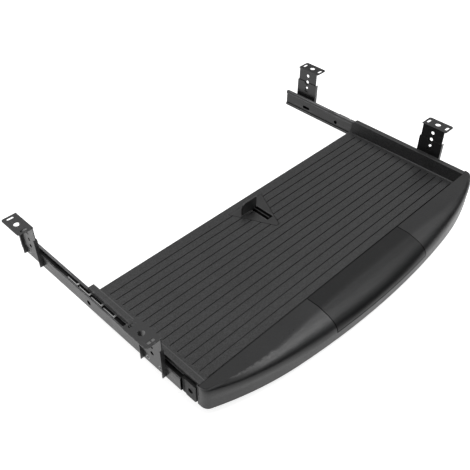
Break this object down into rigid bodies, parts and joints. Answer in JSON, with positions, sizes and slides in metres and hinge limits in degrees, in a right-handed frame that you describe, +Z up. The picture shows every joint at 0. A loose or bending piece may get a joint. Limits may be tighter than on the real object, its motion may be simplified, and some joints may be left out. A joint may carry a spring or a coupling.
{
  "type": "keyboard tray under desk",
  "caption": "Pull-out keyboard tray with a bowed palm rest, hung under a desk on ball slides and height-adjustable steel brackets.",
  "frame": {"origin": "centre of the four round desk holes, on the bracket faces that lie against the desk", "axes": "+X to the user's right, +Y to the rear under the desk, +Z up; the tray slides out along -Y"},
  "size_m": [0.638, 0.434, 0.0818],
  "materials": {
    "black_plastic": "fine-grained moulded black plastic",
    "grip_plastic": "smooth moulded black plastic pad",
    "clip_plastic": "smooth moulded black plastic",
    "black_painted_steel": "satin black powder coat on bent steel sheet",
    "dark_rail_steel": "smooth black electro-coat on rolled steel",
    "zinc_plated_steel": "bright zinc plate",
    "ball_steel": "polished bearing steel with a film of grease",
    "black_rubber": "black rubber"
  },
  "bodies": {
    "desk_brackets": {"left_front_desk_bracket": "black_painted_steel", "left_rear_desk_bracket": "black_painted_steel", "right_front_desk_bracket": "black_painted_steel", "right_rear_desk_bracket": "black_painted_steel"},
    "rail_carriers": {"left_front_hanger": "black_painted_steel", "left_rear_hanger": "black_painted_steel", "right_front_hanger": "black_painted_steel", "right_rear_hanger": "black_painted_steel", "left_fixed_rail": "dark_rail_steel", "left_rail_rivets": "zinc_plated_steel", "right_fixed_rail": "dark_rail_steel", "right_rail_rivets": "zinc_plated_steel"},
    "sliding_tray": {"tray": "black_plastic", "palm_rest": "black_plastic", "centre_grip": "grip_plastic", "cable_clip": "clip_plastic", "palm_screws": "zinc_plated_steel", "grip_screws": "zinc_plated_steel", "left_sliding_rail": "dark_rail_steel", "left_rail_screws": "zinc_plated_steel", "left_rail_nuts": "zinc_plated_steel", "left_travel_stud": "zinc_plated_steel", "left_stop_block": "black_plastic", "left_stop_block_screw": "zinc_plated_steel", "left_end_bumper": "black_rubber", "right_sliding_rail": "dark_rail_steel", "right_rail_screws": "zinc_plated_steel", "right_rail_nuts": "zinc_plated_steel", "right_travel_stud": "zinc_plated_steel", "right_stop_block": "black_plastic", "right_stop_block_screw": "zinc_plated_steel", "right_end_bumper": "black_rubber"},
    "left_ball_cage": {"left_ball_cages": "zinc_plated_steel", "left_cage_balls": "ball_steel"},
    "right_ball_cage": {"right_ball_cages": "zinc_plated_steel", "right_cage_balls": "ball_steel"}
  },
  "joints": [
    {"name": "height_adjust", "type": "slide", "parent": "desk_brackets", "child": "rail_carriers", "axis": [0, 0, 1], "range_m": [-0.012, 0.012]},
    {"name": "tray_slide", "type": "slide", "parent": "rail_carriers", "child": "sliding_tray", "axis": [0, -1, 0], "range_m": [0, 0.24]},
    {"name": "left_cage_slide", "type": "slide", "parent": "rail_carriers", "child": "left_ball_cage", "axis": [0, -1, 0], "range_m": [0, 0.12]},
    {"name": "right_cage_slide", "type": "slide", "parent": "rail_carriers", "child": "right_ball_cage", "axis": [0, -1, 0], "range_m": [0, 0.12]}
  ],
  "couplings": [
    {"joint": "left_cage_slide", "follows": "tray_slide", "ratio": 0.5},
    {"joint": "right_cage_slide", "follows": "tray_slide", "ratio": 0.5}
  ]
}
